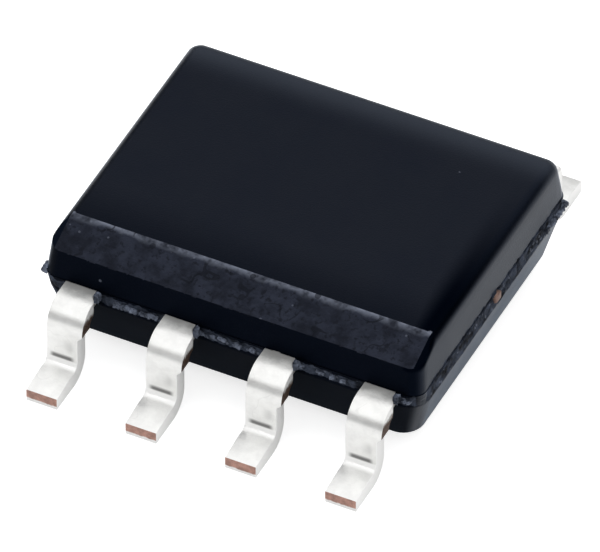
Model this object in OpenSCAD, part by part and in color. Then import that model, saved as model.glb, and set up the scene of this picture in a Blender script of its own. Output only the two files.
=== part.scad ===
// Eight-lead small-outline chip package: a moulded body around a leadframe,
// a die and its bond wires. X runs along the two rows of leads, Z points up,
// and the leads' feet stand on the plane Z = 0. The bevelled long side, at -Y,
// carries leads 1 to 4 from left to right; leads 5 to 8 come back along +Y.

/* [Body] */
// Length of the body at the underside of the leadframe
body_len = 4.83; // [4.6:0.01:5.2]
// Width of the body at the underside of the leadframe
body_wid = 3.91; // [3.7:0.01:4.1]
// Height of the flat top above the seat
body_top = 1.545; // [1.5:0.005:1.75]
// Gap between the flat underside and the seat
standoff = 0.19; // [0.1:0.01:0.3]
// Draft of the upper half's end walls, in degrees
end_draft = 5; // [3:0.5:10]
// Draft of the upper half's long walls, in degrees
side_draft = 8.5; // [3:0.5:12]
// Draft of the lower half's walls, in degrees
lower_draft = 14; // [5:0.5:16]
// Set-back of the upper half across the leadframe's thickness
rim_step = 0.01; // [0:0.001:0.015]
// Plan radius of the upper half's upright corners
upper_corner_r = 0.12; // [0.08:0.01:0.3]
// Plan radius of the lower half's upright corners
lower_corner_r = 0.25; // [0.1:0.01:0.3]
// Radius along the edges of the top
top_edge_r = 0.07; // [0.03:0.005:0.1]
// Radius along the edges of the underside
low_edge_r = 0.05; // [0.02:0.005:0.1]
// How far the bevel reaches in from the top's edge
bevel_run = 0.434; // [0.2:0.002:0.5]
// How far the bevel drops down the long wall
bevel_drop = 0.18; // [0.1:0.005:0.3]

/* [Leads] */
// Distance between neighbouring leads of a row
pitch = 1.27; // [1.2:0.01:1.3]
// Overall distance between the two rows of lead tips
span = 5.97; // [5.8:0.01:6.2]
// Thickness of the leadframe strip
lead_thick = 0.2; // [0.17:0.005:0.23]
// Height of the leadframe's upper face at the body
lead_top = 1; // [0.92:0.01:1.05]
// Width of the upright and the foot
lead_w = 0.4; // [0.36:0.01:0.44]
// Width of the neck where a lead leaves the body
neck_w = 0.38; // [0.3:0.01:0.4]
// Length of the neck outside the body
neck_out = 0.15; // [0.08:0.01:0.18]
// Width across the sheared dam-bar stubs at the shoulder
dam_w = 0.48; // [0.45:0.01:0.52]
// Height above the seat at which the dam-bar stubs end
dam_low = 0.67; // [0.55:0.01:0.75]
// Distance from the body to the upright's outer face
upright_out = 0.5; // [0.49:0.01:0.56]
// Inside radius of a lead's two bends
bend_r = 0.1; // [0.06:0.005:0.12]

/* [Leadframe inside the body] */
// Length of the die pad
pad_len = 2.9; // [2.4:0.05:3.2]
// Width of the die pad
pad_wid = 2; // [1.6:0.05:2.1]
// How far the die pad sits below the leads
pad_downset = 0.15; // [0.05:0.01:0.2]
// Length of the sloping stretch between the pad and its tie bars
downset_run = 0.25; // [0.15:0.01:0.3]
// Width of the tie bars
tie_w = 0.21; // [0.15:0.01:0.3]
// How far the cut tie bars stand out of the end walls
tie_out = 0.03; // [0.01:0.005:0.05]
// Gap between the die pad and the inner ends of the leads
finger_gap = 0.2; // [0.15:0.01:0.25]
// Width of a lead's wide inner end
finger_w = 0.58; // [0.5:0.01:0.7]
// How far the inner ends of the corner leads lean towards the middle
finger_lean = 0.18; // [0:0.01:0.2]
// Depth of the body wall that the narrow neck passes through
lock_depth = 0.33; // [0.25:0.01:0.4]

/* [Die and wires] */
// Length of the die
die_len = 1.3; // [1.2:0.02:1.6]
// Width of the die
die_wid = 1; // [0.8:0.02:1.2]
// Thickness of the die
die_thick = 0.25; // [0.18:0.01:0.28]
// Thickness of the adhesive under the die
attach_thick = 0.03; // [0.02:0.005:0.04]
// Width of the adhesive fillet around the die
attach_rim = 0.03; // [0.02:0.005:0.06]
// Distance between neighbouring bond pads on the die
bond_pitch = 0.3; // [0.2:0.01:0.34]
// Distance of the bond pads from the die's edge
bond_inset = 0.1; // [0.07:0.01:0.15]
// Diameter of the bond wire
wire_d = 0.025; // [0.02:0.001:0.035]
// Diameter of the ball bond on the die
ball_d = 0.07; // [0.06:0.005:0.09]
// Height of the wire loop above the die
loop_h = 0.17; // [0.12:0.01:0.2]
// Distance of the wire's outer end from the lead's inner end
stitch_in = 0.15; // [0.1:0.01:0.2]

/* [Hidden] */

row_count = 4;
lead_low = lead_top - lead_thick;
wall_y = body_wid / 2;
neck_end = wall_y + neck_out;
upright_y = wall_y + upright_out;
tip_y = span / 2;
outer_r = bend_r + lead_thick;
shoulder_z = lead_low - bend_r;
heel_z = lead_thick + bend_r;

finger_y = pad_wid / 2 + finger_gap;
lock_y = wall_y - lock_depth;

bevel_low = body_top - bevel_drop;
bevel_low_y = -upper_y(bevel_low);
bevel_top_y = -upper_y(body_top) + bevel_run;

pad_top = lead_top - pad_downset;
pad_low = pad_top - lead_thick;
attach_top = pad_top + attach_thick;
die_top = attach_top + die_thick;
tie_end = body_len / 2 + tie_out;

corner_steps = 6;
wire_sides = 6;
ball_h = 0.03;

// Half length and half width of the body at a height in its upper or lower half.
function upper_x(z) = body_len / 2 - rim_step - (z - lead_top) * tan(end_draft);
function upper_y(z) = body_wid / 2 - rim_step - (z - lead_top) * tan(side_draft);
function lower_x(z) = body_len / 2 - (lead_low - z) * tan(lower_draft);
function lower_y(z) = body_wid / 2 - (lead_low - z) * tan(lower_draft);

// Row and place of lead n: leads 1 to 4 run along -Y, 5 to 8 back along +Y.
function row_sign(n) = n <= row_count ? -1 : 1;
function slot(n) = n <= row_count ? n - 1 : 2 * row_count - n;
function slot_offset(n) = slot(n) - (row_count - 1) / 2;
function lead_x(n) = pitch * slot_offset(n);
function is_corner(n) = slot(n) == 0 || slot(n) == row_count - 1;
function lean(n) = is_corner(n) ? -sign(lead_x(n)) * finger_lean : 0;

// Joins a stack of rings, each with as many points, into one closed solid.
module skin(rings) {
    count = len(rings[0]);
    last = len(rings) - 1;
    sides = [
        for (i = [0 : last - 1], k = [0 : count - 1])
            let (
                a = i * count + k,
                b = i * count + (k + 1) % count
            )
            each [[a, b, a + count], [b, b + count, a + count]]
    ];
    start_cap = [for (k = [count - 1 : -1 : 0]) k];
    end_cap = [for (k = [0 : count - 1]) last * count + k];
    polyhedron([for (r = rings) each r], concat(sides, [start_cap, end_cap]));
}

// The least Y that the bevel leaves at height z.
function bevel_limit(z) =
    z < bevel_low
        ? -body_wid
        : bevel_low_y + (z - bevel_low) / bevel_drop * (bevel_top_y - bevel_low_y);

// A rectangle with corners of radius r at height z, as a ring of points. Above the
// foot of the bevel, points that would stand in front of it lie on it instead.
function body_ring(half_x, half_y, z, r = upper_corner_r) = [
    for (quarter = [0 : 3], i = [0 : corner_steps])
        let (
            a = 90 * (quarter + i / corner_steps),
            side_x = quarter == 0 || quarter == 3 ? 1 : -1,
            side_y = quarter < 2 ? 1 : -1
        )
        [
            side_x * (half_x - r) + r * cos(a),
            max(side_y * (half_y - r) + r * sin(a), bevel_limit(z)),
            z
        ]
];

// Rings of the rounded lower edge, a being the angle up from the underside.
function low_ring(a) =
    let (
        z = standoff + low_edge_r * (1 - cos(a)),
        inset = low_edge_r * (1 - sin(a))
    )
    body_ring(lower_x(z) - inset, lower_y(z) - inset, z, lower_corner_r);

// Rings of the rounded top edge, a being the angle up from the wall.
function top_ring(a) =
    let (
        z = body_top - top_edge_r * (1 - sin(a)),
        inset = top_edge_r * (1 - cos(a))
    )
    body_ring(upper_x(z) - inset, upper_y(z) - inset, z);

// The solid moulding: two drafted halves with rounded edges, and the bevel.
module body_blank() {
    wall_end = body_top - top_edge_r;
    skin(concat(
        [for (a = [0 : 30 : 90]) low_ring(a)],
        [body_ring(body_len / 2, body_wid / 2, lead_low, lower_corner_r)],
        [body_ring(upper_x(lead_top), upper_y(lead_top), lead_top)],
        [
            for (i = [0 : 2])
                let (z = bevel_low + i / 3 * (wall_end - bevel_low))
                body_ring(upper_x(z), upper_y(z), z)
        ],
        [for (a = [0 : 22.5 : 90]) top_ring(a)]
    ));
}

// Everything that the moulding compound flows around.
module embedded() {
    for (n = [1 : 2 * row_count]) {
        lead(n);
        bond_wire(n);
    }
    die_pad();
    die_attach();
    die();
}

module package_body() {
    color("#2b2d33")
        difference() {
            body_blank();
            embedded();
        }
}

// A quarter of a bent strip, in the quadrant given by the signs.
module bend(y, z, quadrant_y, quadrant_z) {
    translate([y, z])
        intersection() {
            difference() {
                circle(r = outer_r, $fn = 64);
                circle(r = bend_r, $fn = 48);
            }
            scale([quadrant_y, quadrant_z])
                square(outer_r);
        }
}

// Side view of a lead outside the body, from the neck to the tip.
module gull_wing() {
    shoulder_y = upright_y - outer_r;
    heel_y = upright_y + bend_r;
    translate([lock_y, lead_low])
        square([shoulder_y - lock_y, lead_thick]);
    bend(shoulder_y, shoulder_z, 1, 1);
    translate([upright_y - lead_thick, heel_z])
        square([lead_thick, shoulder_z - heel_z]);
    bend(heel_y, heel_z, -1, -1);
    translate([heel_y, 0])
        square([tip_y - heel_y, lead_thick]);
}

// The part of the gull wing inside a window of its side view, w wide.
module wing_part(w, y0, z0, y1, z1) {
    rotate([90, 0, 90])
        linear_extrude(w, center = true)
            intersection() {
                gull_wing();
                translate([y0, z0])
                    square([y1 - y0, z1 - z0]);
            }
}

// The wide inner end of a lead, leaning by dx at its tip.
module finger(dx) {
    translate([0, 0, lead_low])
        linear_extrude(lead_thick)
            polygon([
                [dx - finger_w / 2, finger_y],
                [dx + finger_w / 2, finger_y],
                [finger_w / 2, lock_y],
                [-finger_w / 2, lock_y]
            ]);
}

module lead(n) {
    color("#d9dad6")
        translate([lead_x(n), 0, 0])
            mirror([0, row_sign(n) < 0 ? 1 : 0, 0])
                union() {
                    finger(lean(n));
                    wing_part(neck_w, lock_y, 0, neck_end, lead_top);
                    wing_part(dam_w, neck_end, dam_low, tip_y, lead_top);
                    wing_part(lead_w, neck_end, 0, tip_y, dam_low);
                }
}

// Side view of one tie bar: flat pad, slope up, flat bar out of the end wall.
module tie_profile() {
    slope_x = pad_len / 2 + downset_run;
    polygon([
        [pad_len / 2 - lead_thick, pad_low],
        [pad_len / 2, pad_low],
        [slope_x, lead_low],
        [tie_end, lead_low],
        [tie_end, lead_top],
        [slope_x - lead_thick / 4, lead_top],
        [pad_len / 2 - lead_thick / 4, pad_top],
        [pad_len / 2 - lead_thick, pad_top]
    ]);
}

module die_pad() {
    color("#b98a63")
        union() {
            translate([-pad_len / 2, -pad_wid / 2, pad_low])
                cube([pad_len, pad_wid, lead_thick]);
            for (side = [0, 1])
                mirror([side, 0, 0])
                    rotate([90, 0, 0])
                        linear_extrude(tie_w, center = true)
                            tie_profile();
        }
}

module die_attach() {
    size_x = die_len + 2 * attach_rim;
    size_y = die_wid + 2 * attach_rim;
    color("#c9c9c4")
        translate([-size_x / 2, -size_y / 2, pad_top])
            cube([size_x, size_y, attach_thick]);
}

module die() {
    color("#6f7480")
        translate([-die_len / 2, -die_wid / 2, attach_top])
            cube([die_len, die_wid, die_thick]);
}

// Stations along a bond wire whose ends lie run apart. Each one holds the
// distance along the run, the height, the slope in degrees and the radius.
function wire_stations(run) = [
    [0, die_top, 90, ball_d / 2],
    [0, die_top + ball_h, 90, ball_d / 2.2],
    [0, die_top + ball_h + wire_d, 90, wire_d / 2],
    [0, die_top + loop_h * 0.7, 90, wire_d / 2],
    [0.06 * run, die_top + loop_h * 0.95, 40, wire_d / 2],
    [0.18 * run, die_top + loop_h, 0, wire_d / 2],
    [0.6 * run, lead_top + 0.65 * (die_top + loop_h - lead_top), -25, wire_d / 2],
    [0.93 * run, lead_top + 2.4 * wire_d, -50, wire_d / 2],
    [run, lead_top + wire_d, -90, wire_d / 2],
    [run, lead_top, -90, wire_d / 2]
];

// One ring of wire_sides points square to the wire at a station.
function wire_ring(s, from, dir) = [
    for (k = [0 : wire_sides - 1])
        let (
            a = 360 * k / wire_sides,
            across = s[3] * cos(a),
            up = s[3] * sin(a),
            along = s[0] - up * sin(s[2])
        )
        [
            from[0] + dir[0] * along - dir[1] * across,
            from[1] + dir[1] * along + dir[0] * across,
            s[1] + up * cos(s[2])
        ]
];

module wire_sweep(from, to) {
    run = norm(to - from);
    dir = (to - from) / run;
    skin([for (s = wire_stations(run)) wire_ring(s, from, dir)]);
}

module bond_wire(n) {
    from = [
        bond_pitch * slot_offset(n),
        row_sign(n) * (die_wid / 2 - bond_inset)
    ];
    to = [
        lead_x(n) + lean(n),
        row_sign(n) * (finger_y + stitch_in)
    ];
    color("#d8a94a")
        wire_sweep(from, to);
}

package_body();
lead(1);  // lead_1
lead(2);  // lead_2
lead(3);  // lead_3
lead(4);  // lead_4
lead(5);  // lead_5
lead(6);  // lead_6
lead(7);  // lead_7
lead(8);  // lead_8
die_pad();
die_attach();
die();
bond_wire(1);  // bond_wire_1
bond_wire(2);  // bond_wire_2
bond_wire(3);  // bond_wire_3
bond_wire(4);  // bond_wire_4
bond_wire(5);  // bond_wire_5
bond_wire(6);  // bond_wire_6
bond_wire(7);  // bond_wire_7
bond_wire(8);  // bond_wire_8
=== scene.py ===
"""Voltage supervisor chip in an eight-lead small-outline package.

Each operator builds one piece, or one group of like pieces, around the loaded frame.
Pieces are drawn with one unit to the millimetre, because the mesh tools merge points that
lie closer than a tenth of a millimetre in metres, and are brought to metres when finished.
"""

import math
from types import SimpleNamespace

import bmesh
import bpy
from bpy.props import FloatProperty, FloatVectorProperty, PointerProperty
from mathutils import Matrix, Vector, noise


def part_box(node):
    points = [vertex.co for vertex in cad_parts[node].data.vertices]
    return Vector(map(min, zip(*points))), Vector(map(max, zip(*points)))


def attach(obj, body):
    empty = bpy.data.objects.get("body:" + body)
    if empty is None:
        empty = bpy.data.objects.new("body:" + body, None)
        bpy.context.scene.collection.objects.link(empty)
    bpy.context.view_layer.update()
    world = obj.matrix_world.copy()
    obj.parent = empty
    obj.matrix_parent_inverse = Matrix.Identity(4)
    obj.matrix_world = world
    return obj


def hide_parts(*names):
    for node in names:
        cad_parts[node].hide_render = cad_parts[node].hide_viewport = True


bl_info = {
    "name": "Voltage supervisor chip",
    "version": (1, 0, 0),
    "blender": (4, 5, 0),
    "location": "View3D > Sidebar > Chip",
    "description": "Builds a small-outline chip with a moulded body and eight gull-wing leads",
    "category": "Object",
}

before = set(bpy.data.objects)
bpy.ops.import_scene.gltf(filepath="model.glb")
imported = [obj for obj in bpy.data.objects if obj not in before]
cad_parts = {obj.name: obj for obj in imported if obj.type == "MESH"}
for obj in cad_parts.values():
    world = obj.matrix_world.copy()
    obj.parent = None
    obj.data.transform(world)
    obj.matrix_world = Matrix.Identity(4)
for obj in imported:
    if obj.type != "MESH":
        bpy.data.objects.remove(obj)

MM = 0.001
ROOT = "root"
LEADS_PER_ROW = 4
X, Y, Z = range(3)
# Places nearer to each other than this count as the same, in millimetres.
CLOSE = 1e-4


def in_mm(node):
    """Lowest and highest corner of a node of the frame, in millimetres."""
    low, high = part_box(node)
    return low / MM, high / MM


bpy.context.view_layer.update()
BODY_LOW, BODY_HIGH = in_mm("package_body")
LEAD_LOW, LEAD_HIGH = in_mm("lead_1")
PAD_LOW, PAD_HIGH = in_mm("die_pad")


# Sizes and colours -----------------------------------------


def length(name, text, default):
    """A length in metres, given in millimetres."""
    return FloatProperty(
        name=name,
        description=text,
        default=default * MM,
        min=0,
        unit="LENGTH",
        subtype="DISTANCE",
        precision=6,
    )


def colour(name, text, default):
    """A linear colour."""
    return FloatVectorProperty(
        name=name,
        description=text,
        default=default,
        min=0,
        max=1,
        size=3,
        subtype="COLOR",
    )


def factor(name, text, default, top=1.0):
    """A plain share between nothing and top."""
    return FloatProperty(
        name=name, description=text, default=default, min=0, max=top, subtype="FACTOR"
    )


def power(name, text, default):
    """The power of a lamp."""
    return FloatProperty(name=name, description=text, default=default, min=0, unit="POWER")


def angle(name, text, degrees):
    """An angle, given in degrees."""
    return FloatProperty(
        name=name,
        description=text,
        default=math.radians(degrees),
        subtype="ANGLE",
        unit="ROTATION",
    )


class MouldingSettings(bpy.types.PropertyGroup):
    """Sizes and colours of the moulded body."""

    seam_low: length("Seam foot", "Height of the leadframe's underside", 0.8)
    seam_top: length("Seam top", "Height of the leadframe's upper face", 1.0)
    rim_step: length("Rim step", "Set-back of the upper half above the seam", 0.01)
    upper_corner: length("Upper corner", "Plan radius of the upper half's corners", 0.16)
    lower_corner: length("Lower corner", "Plan radius of the lower half's corners", 0.25)
    top_radius: length("Top edge radius", "Rounding along the edges of the top", 0.13)
    low_radius: length("Low edge radius", "Rounding along the underside", 0.05)
    top_half_length: length("Half length at top", "Half the length of the flat top", 2.357)
    top_half_width: length("Half width at top", "Half the width of the flat top", 1.863)
    low_half_length: length("Half length below", "Half the underside's length", 2.263)
    low_half_width: length("Half width below", "Half the underside's width", 1.803)
    bevel_run: length("Bevel run", "How far the bevel reaches in from the top's edge", 0.434)
    bevel_drop: length("Bevel drop", "How far the bevel drops down the long wall", 0.18)
    bevel_end: length("Bevel end", "How far the rubbed bevel runs to each side", 2.285)
    chip_depth: length("Chip depth", "Depth of the broken seam between the halves", 0.022)
    rub_depth: length("Rub depth", "Depth of the roughness on the bevel", 0.012)
    compound: colour("Compound", "Black moulding compound", (0.0006, 0.0012, 0.0036))
    top_cast: colour("Gloss cast", "Cool cast of the gloss", (0.08, 0.135, 0.27))
    # Lighter, bluer black of the ends: painted sheen for their grazing gloss.
    end: colour("End", "Black of the two ends", (0.0025, 0.005, 0.01))
    # Black taken where painted shade dulls the compound: the long walls, a band along the top by
    # the right end, and the front of the top.
    wall: colour("Wall", "Black of the long walls", (0.0011, 0.0022, 0.005))
    # Painted sheen: the top is made paler towards its back edge.
    painted_sheen: colour("Haze", "Pale haze near the back edge", (0.022, 0.026, 0.034))
    bevel: colour("Bevel", "Rough face of the bevel", (0.0155, 0.0185, 0.029))
    broken: colour("Broken resin", "Broken resin along the seam", (0.023, 0.028, 0.04))
    torn: colour("Torn resin", "Torn edges of the flash", (0.19, 0.22, 0.29))
    # This pale colour also paints the highlight along the bevel's upper edge.
    filler: colour("Filler", "Pale grains of filler in the resin", (0.27, 0.30, 0.38))


class LeadSettings(bpy.types.PropertyGroup):
    """Sizes and colours of the gull-wing leads."""

    thickness: length("Thickness", "Thickness of the leadframe strip", 0.2)
    neck_width: length("Neck width", "Width where a lead leaves the body", 0.39)
    neck_end: length("Neck end", "Distance of the neck's end from the middle", 2.06)
    stub_reach: length("Stub reach", "Reach of the dam-bar stub from the lead's middle", 0.26)
    stub_low: length("Stub foot", "Height at which the dam-bar stub ends", 0.695)
    sheared_top: length("Cut top", "Height at which the bare dam-bar cut starts", 0.87)
    foot_width: length("Foot width", "Width of the upright and the foot", 0.4)
    upright: length("Upright", "Distance of the upright's outer face from the middle", 2.455)
    bend_radius: length("Bend radius", "Inside radius of the two bends", 0.1)
    finger_width: length("Finger width", "Width of the inner end", 0.58)
    finger_start: length("Finger start", "Distance of the inner end from the middle", 1.2)
    finger_end: length("Finger end", "Where the inner end narrows to the neck", 1.625)
    finger_lean: length("Finger lean", "Lean of the corner leads' inner ends", 0.18)
    edge_radius: length("Edge radius", "Rounding of the stamped edges", 0.022)
    tip_thin: factor("Tip thinning", "Share of the strip's thickness left at the tip", 0.82)
    tin: colour("Tin", "Matte tin plate", (0.94, 0.94, 0.925))
    # Besides the tin smeared on the cut tips, this colour paints the highlight in each heel and
    # the light on the sides of the leads.
    rubbed: colour("Rubbed tin", "Tin rubbed bright by the forming tool", (1.0, 1.0, 0.99))
    copper: colour("Copper", "Bare copper of the cut tips", (0.44, 0.25, 0.20))
    tarnish: colour("Tarnish", "Brown copper of the dam-bar cuts", (0.055, 0.022, 0.007))


class CoreSettings(bpy.types.PropertyGroup):
    """Sizes and colours of the sealed leadframe, die and wires."""

    thickness: length("Thickness", "Thickness of the die pad and its tie bars", 0.2)
    pad_half_length: length("Pad half length", "Half the length of the die pad", 1.45)
    slope_end: length("Slope end", "Where the tie bar is level with the leads", 1.7)
    tie_width: length("Tie-bar width", "Width of the tie bars", 0.21)
    edge_radius: length("Edge radius", "Rounding of the stamped edges", 0.014)
    strip: colour("Strip copper", "Copper alloy of the leadframe", (0.22, 0.14, 0.115))
    adhesive: colour("Adhesive", "Silver-filled adhesive", (0.58, 0.58, 0.55))
    silicon: colour("Silicon", "Polished silicon", (0.12, 0.14, 0.19))
    gold: colour("Gold", "Bond wire", (0.85, 0.60, 0.19))


class StageSettings(bpy.types.PropertyGroup):
    """Floor, light and camera."""

    floor: colour("Floor", "Pale floor", (0.8, 0.8, 0.8))
    dome: factor("Dome", "Strength of the even light all round", 0.88, 4.0)
    key: power("Key light", "Power of the soft light overhead", 0.055)
    glint: power("Glint light", "Power of the small light that shows only in gloss", 0.0019)
    azimuth: angle("Azimuth", "Turn of the camera from the front to the right end", 26.18)
    elevation: angle("Elevation", "Rise of the camera above the floor", 43.18)
    lens: FloatProperty(
        name="Lens", description="Focal length of the camera", default=1000, unit="CAMERA"
    )
    distance: length("Distance", "Distance of the camera from the point it looks at", 192.2)
    aim: FloatVectorProperty(
        name="Aim",
        description="The point that the camera looks at",
        default=(-0.1235 * MM, 0.1046 * MM, 0.1581 * MM),
        size=3,
        subtype="TRANSLATION",
        unit="LENGTH",
        precision=6,
    )


def sizes_in_mm(settings):
    """The values of a group of settings, its lengths in millimetres."""
    found = {}
    for key, kind in settings.bl_rna.properties.items():
        if key not in ("rna_type", "name"):
            value = getattr(settings, key)
            found[key] = value / MM if kind.unit == "LENGTH" else value
    return SimpleNamespace(**found)


# Modelling -------------------------------------------------


def deselect():
    """Selects no piece."""
    bpy.ops.object.select_all(action="DESELECT")


def activate(piece):
    """Selects this one piece."""
    deselect()
    piece.select_set(True)
    bpy.context.view_layer.objects.active = piece


def take_all():
    """Selects the whole mesh that is being edited."""
    bpy.ops.mesh.select_all(action="SELECT")


def rename(piece, name):
    """Names a piece and its mesh alike."""
    piece.name = name
    piece.data.name = name


def start_block(name, low, high):
    """Adds a block between two corners and opens it in edit mode, nothing selected."""
    deselect()
    low, high = Vector(low), Vector(high)
    bpy.ops.mesh.primitive_cube_add(size=1, location=(0, 0, 0))
    piece = bpy.context.object
    rename(piece, name)
    bpy.ops.object.mode_set(mode="EDIT")
    take_all()
    bpy.ops.transform.resize(value=high - low, center_override=(0, 0, 0))
    bpy.ops.transform.translate(value=(low + high) / 2)
    bpy.ops.mesh.select_all(action="DESELECT")
    return piece


def pick(piece, kind, test):
    """Selects the vertices, edges or faces that pass a test, and returns how many."""
    bpy.ops.mesh.select_mode(type=kind)
    bpy.ops.mesh.select_all(action="DESELECT")
    mesh = bmesh.from_edit_mesh(piece.data)
    items = {"VERT": mesh.verts, "EDGE": mesh.edges, "FACE": mesh.faces}[kind]
    chosen = [item for item in items if test(item)]
    for item in chosen:
        item.select_set(True)
    mesh.select_flush_mode()
    bmesh.update_edit_mesh(piece.data)
    return len(chosen)


def at_height(height):
    """A test for edges and faces that lie at a height."""
    return lambda item: all(abs(vertex.co.z - height) < CLOSE for vertex in item.verts)


def facing(direction):
    """A test for faces that look in a direction."""
    return lambda face: face.normal.dot(direction) > 0.9


def middle(item):
    """Middle of an edge or a face."""
    points = [vertex.co for vertex in item.verts]
    return sum(points, Vector()) / len(points)


def push(x=0, y=0, z=0):
    """Extrudes the selected faces by an offset."""
    bpy.ops.mesh.extrude_region_move(TRANSFORM_OT_translate={"value": (x, y, z)})


def widen(x=1.0, y=1.0, z=1.0, about=(0, 0, 0)):
    """Scales what is selected about a point."""
    bpy.ops.transform.resize(value=(x, y, z), center_override=about)


def cut(point, normal, fill=False, clear=False):
    """Cuts what is selected along a plane, and may clear the side its normal points to."""
    bpy.ops.mesh.bisect(
        plane_co=point,
        plane_no=normal,
        use_fill=fill,
        clear_outer=clear,
        threshold=0.00001,
    )


def cut_across(axis, place):
    """Cuts what is selected at a place along an axis."""
    point, normal = Vector(), Vector()
    point[axis], normal[axis] = place, 1
    cut(point, normal)


def steps_between(low, high, step):
    """Evenly spaced places between two ends, about a step apart, without the ends."""
    count = max(1, round((high - low) / step))
    return [low + (high - low) * i / count for i in range(1, count)]


def slice_faces(piece, test, axis, places):
    """Cuts the faces that pass a test at several places along an axis."""
    for place in places:
        if pick(piece, "FACE", test):
            cut_across(axis, place)


def weigh(piece, name, weight):
    """Gives a piece a vertex group whose weights follow a function of the place."""
    group = piece.vertex_groups.new(name=name)
    for vertex in piece.data.vertices:
        value = weight(vertex.co)
        if value > 0:
            group.add([vertex.index], min(1, value), "REPLACE")


def apply_modifier(piece, name, kind, **values):
    """Gives a piece a modifier with its values and applies it."""
    modifier = piece.modifiers.new(name, kind)
    for key, value in values.items():
        setattr(modifier, key, value)
    activate(piece)
    bpy.ops.object.modifier_apply(modifier=modifier.name)


def roughen(piece, name, kind, grain, depth, group, level, **values):
    """Pushes the surface in and out by clouds or cells of a size, and applies that."""
    texture = bpy.data.textures.new(name, kind)
    texture.noise_scale = grain
    for key, value in values.items():
        setattr(texture, key, value)
    apply_modifier(
        piece,
        name,
        "DISPLACE",
        texture=texture,
        texture_coords="LOCAL",
        direction="NORMAL",
        strength=depth,
        mid_level=level,
        vertex_group=group,
    )


def round_edges(piece, radius, segments=3):
    """Rounds the sharp edges of a piece and applies that."""
    apply_modifier(
        piece,
        "Rounding",
        "BEVEL",
        width=radius,
        segments=segments,
        limit_method="ANGLE",
        angle_limit=math.radians(40),
        harden_normals=False,
    )


def smooth_by_angle(piece, degrees):
    """Shades a piece smooth but for edges sharper than an angle."""
    activate(piece)
    bpy.ops.object.shade_smooth_by_angle(angle=math.radians(degrees))


def finish_piece(piece, slot, *nodes):
    """Brings a piece to metres at the origin and hands it to the frame."""
    activate(piece)
    piece.scale = (MM, MM, MM)
    bpy.ops.object.transform_apply(location=True, rotation=True, scale=True)
    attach(piece, ROOT)
    if nodes:
        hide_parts(*nodes)
    deselect()


def dress(piece, *materials):
    """Gives a piece these materials, in order."""
    piece.data.materials.clear()
    for made in materials:
        piece.data.materials.append(made)


# Materials -------------------------------------------------

WHITE = (1, 1, 1, 1)
GRAIN = "Grain and mottling"
SPECKS = "Specks"
SCUFFS = "Scuffs"
# Grid of the nodes in the shader editor, and where the shader stands in it.
COLUMN, ROW, SHADER_COLUMN = 200, 180, 16


def arithmetic(operation):
    """A method of a value that does one step of arithmetic."""
    return lambda value, *others: value.sheet.math(operation, value, *others)


class Value:
    """A number in a node tree, so that steps of arithmetic on it read as such."""

    def __init__(self, sheet, socket):
        self.sheet = sheet
        self.socket = socket

    __add__ = arithmetic("ADD")
    __sub__ = arithmetic("SUBTRACT")
    __mul__ = arithmetic("MULTIPLY")
    __abs__ = arithmetic("ABSOLUTE")
    # The greater of two values, and one where a value is the lesser, else nothing.
    most = arithmetic("MAXIMUM")
    under = arithmetic("LESS_THAN")
    # What is left over past the last full turn, given the length of a turn and its start.
    wrap = arithmetic("WRAP")

    def __rsub__(self, other):
        return self.sheet.math("SUBTRACT", other, self)

    def ramp(self, low, high):
        """Nothing at low, one at high and a soft step between."""
        node = self.sheet.add(
            "ShaderNodeMapRange",
            {"Value": self, "From Min": low, "From Max": high},
            interpolation_type="SMOOTHSTEP",
        )
        return Value(self.sheet, node.outputs["Result"])

    def stripe(self, centre, inner, outer):
        """One within the inner distance of a line, fading to nothing at the outer one."""
        return abs(self - centre).ramp(outer, inner)


def plain(value):
    """The socket of a value, or anything else as it is."""
    return value.socket if isinstance(value, Value) else value


def rgba(value):
    """A colour with its alpha, or a socket as it is."""
    return value if isinstance(value, bpy.types.NodeSocket) else (*value[:3], 1)


def shade(tone, share):
    """A colour made darker or lighter."""
    return [min(1, value * share) for value in tone]


class Sheet:
    """A node tree in the making, which sets each node to the right of what feeds it."""

    def __init__(self, tree):
        self.tree = tree
        self.rows = {}

    def add(self, kind, inputs=(), **settings):
        """Adds a node with its settings, and links or sets its inputs."""
        node = self.tree.nodes.new(kind)
        for key, value in settings.items():
            setattr(node, key, value)
        column = 0
        for key, value in dict(inputs).items():
            value = plain(value)
            if isinstance(value, bpy.types.NodeSocket):
                self.link(value, node.inputs[key])
                column = max(column, round(value.node.location.x / COLUMN) + 1)
            else:
                node.inputs[key].default_value = value
        row = self.rows.get(column, 0)
        self.rows[column] = row + 1
        node.location = (column * COLUMN, -row * ROW)
        return node

    def link(self, value, socket):
        self.tree.links.new(plain(value), socket)

    def math(self, operation, *values):
        """One step of arithmetic."""
        node = self.add("ShaderNodeMath", enumerate(values), operation=operation)
        return Value(self, node.outputs[0])

    def mix(self, share, first, second):
        """A mix of two colours."""
        inputs = {0: share, 6: rgba(first), 7: rgba(second)}
        return self.add("ShaderNodeMix", inputs, data_type="RGBA").outputs[2]

    def mottled(self, tone, low, high):
        """A colour that wanders between two shades of itself."""
        return self.mix(self.mottle, shade(tone, low), shade(tone, high))

    def sides(self):
        """X, y and z of the place on the piece, in millimetres."""
        sides = self.add("ShaderNodeSeparateXYZ", {0: self.where}).outputs
        return [Value(self, socket) for socket in sides]

    def effect(self, name, **values):
        """A shared effect with its own values, sizes in millimetres."""
        inputs = {key.replace("_", " ").title(): value for key, value in values.items()}
        node = self.add(
            "ShaderNodeGroup", {"Place": self.where, **inputs}, node_tree=shared(name)
        )
        found = [Value(self, socket) for socket in node.outputs]
        return found if len(found) > 1 else found[0]

    def feed(self, **sockets):
        """Links values to sockets of the shader."""
        for key, value in sockets.items():
            self.link(value, self.shader.inputs[key.replace("_", " ")])

    def finish(self, tone, gloss, height, depth):
        """Feeds colour, roughness and a height whose depth is given in millimetres."""
        bump = self.add("ShaderNodeBump", {"Distance": depth * MM, "Height": height})
        self.feed(Base_Color=tone, Roughness=gloss, Normal=bump.outputs["Normal"])
        return self.material


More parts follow.
